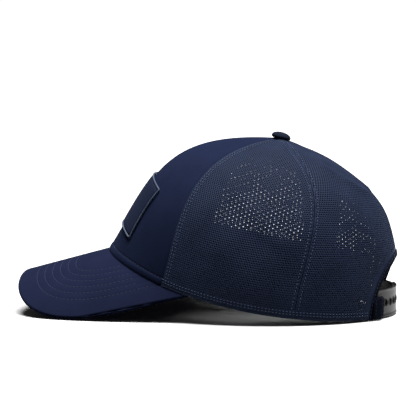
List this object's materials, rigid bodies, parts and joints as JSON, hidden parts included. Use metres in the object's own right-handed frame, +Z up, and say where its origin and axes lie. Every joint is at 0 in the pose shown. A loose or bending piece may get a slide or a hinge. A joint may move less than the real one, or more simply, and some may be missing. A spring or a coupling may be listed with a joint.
{
  "type": "trucker mesh cap",
  "caption": "Curved-visor cap with a cloth front, open mesh sides and back, a plain front patch, a covered top button and a plastic snap strap across a rear arch.",
  "frame": {"origin": "middle of the head opening, on the plane the cap rests on", "axes": "+Z up from the table to the crown, the visor points along -Y, the wearer's left is +X"},
  "size_m": [0.169, 0.2732, 0.1308],
  "materials": {
    "front_cloth": "fine cotton twill, matt",
    "visor_cloth": "fine cotton twill, matt, stitched in rows",
    "stiffener": "stiff open buckram, black",
    "mesh_cloth": "knitted polyester mesh, slight sheen",
    "tape_cloth": "plain woven tape, matt",
    "band_cloth": "brushed cotton, matt",
    "binding_cloth": "folded woven binding, matt",
    "board": "plain sheet",
    "strap_plastic": "smoke grey, slightly cloudy",
    "patch_cloth": "plain woven patch, matt",
    "bead_cloth": "satin-stitched edge, soft sheen",
    "button_cloth": "cloth-covered, matt",
    "rivet_metal": "tinned"
  },
  "bodies": {
    "cap": {"front_panel": "front_cloth", "front_stiffener": "stiffener", "left_side_mesh": "mesh_cloth", "right_side_mesh": "mesh_cloth", "left_rear_mesh": "mesh_cloth", "right_rear_mesh": "mesh_cloth", "left_hem_strip": "mesh_cloth", "right_hem_strip": "mesh_cloth", "front_left_tape": "tape_cloth", "front_right_tape": "tape_cloth", "rear_left_tape": "tape_cloth", "rear_right_tape": "tape_cloth", "centre_back_tape": "tape_cloth", "sweatband": "band_cloth", "visor_top_cover": "visor_cloth", "visor_board": "board", "visor_under_cover": "visor_cloth", "arch_binding": "binding_cloth", "left_tab": "binding_cloth", "right_tab": "binding_cloth", "hole_strap_root": "strap_plastic", "peg_strap_root": "strap_plastic", "front_patch": "patch_cloth", "patch_bead": "bead_cloth", "top_button": "button_cloth", "button_rivet": "rivet_metal"},
    "hole_strap_arm": {"hole_strap": "strap_plastic"},
    "peg_strap_arm": {"peg_strap": "strap_plastic"}
  },
  "joints": [
    {"name": "hole_strap_swing", "type": "hinge", "parent": "cap", "child": "hole_strap_arm", "pos_m": [0.02996, 0.09635, 0.0106], "axis": [0, 0, -1], "range_deg": [0, 60], "stiffness_Nm_per_rad": 0.004},
    {"name": "peg_strap_swing", "type": "hinge", "parent": "cap", "child": "peg_strap_arm", "pos_m": [-0.02846, 0.09364, 0.0106], "axis": [0, 0, -1], "range_deg": [0, 35], "stiffness_Nm_per_rad": 0.004}
  ]
}
